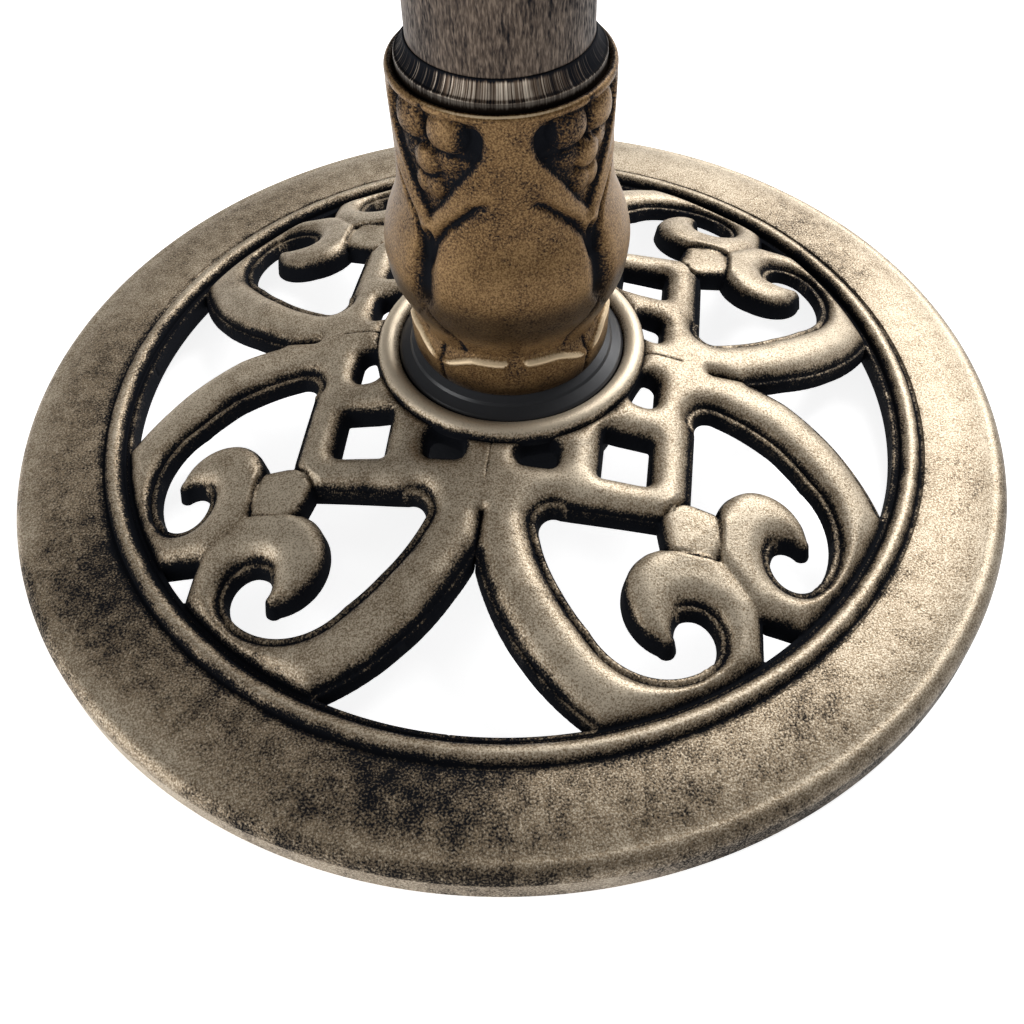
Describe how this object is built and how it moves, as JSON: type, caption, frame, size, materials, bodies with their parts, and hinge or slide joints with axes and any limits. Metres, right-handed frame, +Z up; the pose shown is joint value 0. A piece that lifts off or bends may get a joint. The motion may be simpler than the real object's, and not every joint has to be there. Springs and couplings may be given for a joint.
{
  "type": "parasol base",
  "caption": "Round openwork parasol base with heart-scroll panels, a beaded rim, a leaf-relief column sleeve and a knob-clamped tube for the pole.",
  "frame": {"origin": "centre of the round base on the ground", "axes": "+Z up along the stand tube; the clamp knob's stud lies along +X; the scroll panels' axes lie at about 36, 126, 216 and 306 degrees from +X"},
  "size_m": [0.4, 0.4, 0.3265],
  "materials": {
    "cast_bronze_lacquer": "antique bronze lacquer brushed over black",
    "sleeve_bronze_lacquer": "antique bronze lacquer brushed over black",
    "tube_bronze_lacquer": "antique bronze lacquer, streaked",
    "black_seat": "gloss black",
    "rubber_black": "matt",
    "zinc_steel": "zinc plated",
    "plain_steel": "bare, oiled",
    "black_plastic": "fine texture",
    "grey_plastic": "fine texture",
    "nylon_white": "natural",
    "brass_insert": "turned"
  },
  "bodies": {
    "stand": {"base_casting": "cast_bronze_lacquer", "foot_pads": "rubber_black", "sleeve_seat": "black_seat", "column_sleeve": "sleeve_bronze_lacquer", "tube_collar": "tube_bronze_lacquer", "stand_tube": "tube_bronze_lacquer", "tube_foot_plug": "plain_steel", "centre_bolt": "zinc_steel", "bolt_washer": "zinc_steel", "spring_washer": "zinc_steel", "pole_seat_cup": "grey_plastic", "pole_guide": "grey_plastic", "tube_cap": "black_plastic", "clamp_boss": "tube_bronze_lacquer"},
    "feed": {"thrust_pad": "nylon_white"},
    "knob": {"clamp_stud": "zinc_steel", "knob_insert": "brass_insert", "knob_head": "black_plastic", "knob_cap": "black_plastic"},
    "reducer": {"pole_reducer": "black_plastic"}
  },
  "joints": [
    {"name": "clamp_feed", "type": "slide", "parent": "stand", "child": "feed", "axis": [-1, 0, 0], "range_m": [0, 0.0065]},
    {"name": "clamp_turn", "type": "hinge", "parent": "feed", "child": "knob", "pos_m": [0.06, 0, 0.252], "axis": [-1, 0, 0], "range_deg": [0, 1560]},
    {"name": "reducer_lift", "type": "slide", "parent": "stand", "child": "reducer", "axis": [0, 0, 1], "range_m": [0, 0.06]}
  ],
  "couplings": [
    {"joint": "clamp_feed", "follows": "clamp_turn", "m_per_rad": 0.00023873}
  ]
}
